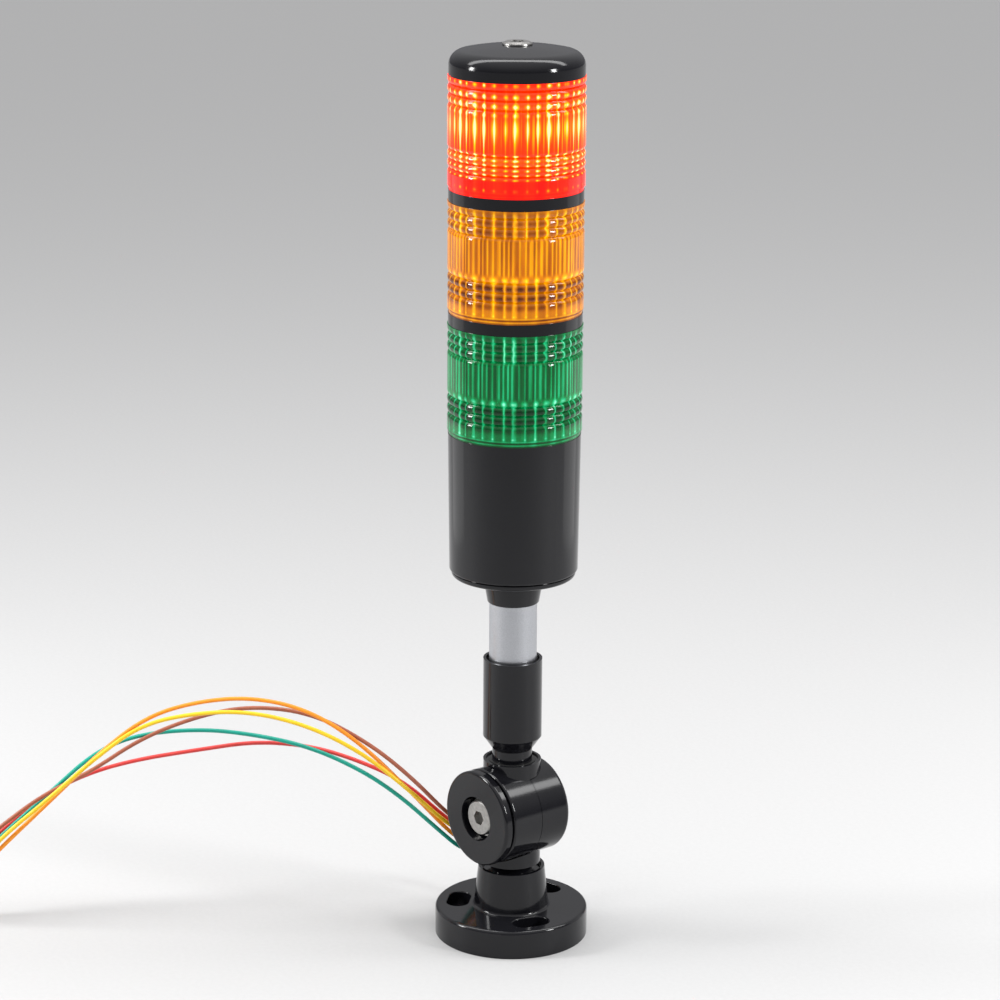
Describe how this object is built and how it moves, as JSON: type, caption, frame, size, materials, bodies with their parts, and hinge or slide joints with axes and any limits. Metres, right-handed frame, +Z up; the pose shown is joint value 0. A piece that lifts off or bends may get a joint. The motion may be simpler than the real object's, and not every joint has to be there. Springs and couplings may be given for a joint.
{
  "type": "stack light",
  "caption": "Black-cased tower light with ribbed red, amber and green lenses on an aluminium pole, a clamp swivel that tilts it and a round screw-down foot with loose leads.",
  "frame": {"origin": "centre of the foot's underside", "axes": "+Z up along the pole, +Y along the tilt axis with the clamp disc and its screw facing -Y"},
  "size_m": [0.2071, 0.2175, 0.3426],
  "materials": {
    "black_gloss": "gloss",
    "black_rubber": "matt",
    "zinc_steel": "bright zinc",
    "fibre_washer": "matt",
    "satin_aluminium": "satin",
    "board_green": "satin",
    "component_black": "matt",
    "natural_plastic": "satin",
    "green_led": "clear",
    "amber_led": "clear",
    "red_led": "lit",
    "green_lens": "clear",
    "amber_lens": "clear",
    "red_lens": "clear",
    "orange_insulation": "satin",
    "yellow_insulation": "satin",
    "green_insulation": "satin",
    "red_insulation": "satin",
    "brown_insulation": "satin"
  },
  "bodies": {
    "foot": {"base_flange": "black_gloss", "wire_grommet": "black_rubber", "swivel_lower_half": "black_gloss", "clamp_disc": "black_gloss", "pivot_screw": "zinc_steel", "pivot_washer": "zinc_steel", "pivot_nut": "zinc_steel", "friction_washer": "fibre_washer", "brown_lead": "brown_insulation", "green_lead": "green_insulation", "orange_lead": "orange_insulation", "red_lead": "red_insulation", "yellow_lead": "yellow_insulation", "brown_lead_coil": "brown_insulation", "green_lead_coil": "green_insulation", "orange_lead_coil": "orange_insulation", "red_lead_coil": "red_insulation", "yellow_lead_coil": "yellow_insulation"},
    "tower": {"amber_led_board": "board_green", "amber_led_post": "natural_plastic", "amber_leds": "amber_led", "amber_lens": "amber_lens", "amber_tier_band": "black_gloss", "base_housing": "black_gloss", "bottom_cover": "black_gloss", "buzzer": "component_black", "cap": "black_gloss", "cap_screw": "zinc_steel", "collar_ring": "black_rubber", "control_board": "board_green", "green_led_board": "board_green", "green_led_post": "natural_plastic", "green_leds": "green_led", "green_lens": "green_lens", "lead_terminal": "component_black", "pole_sleeve": "black_gloss", "pole_tube": "satin_aluminium", "red_led_board": "board_green", "red_led_post": "natural_plastic", "red_leds": "red_led", "red_lens": "red_lens", "red_tier_band": "black_gloss", "rod_nut": "zinc_steel", "swivel_upper_half": "black_gloss", "tie_rod": "zinc_steel"}
  },
  "joints": [
    {"name": "tilt", "type": "hinge", "parent": "foot", "child": "tower", "pos_m": [0, 0, 0.0496], "axis": [0, 1, 0], "range_deg": [-90, 90]}
  ]
}
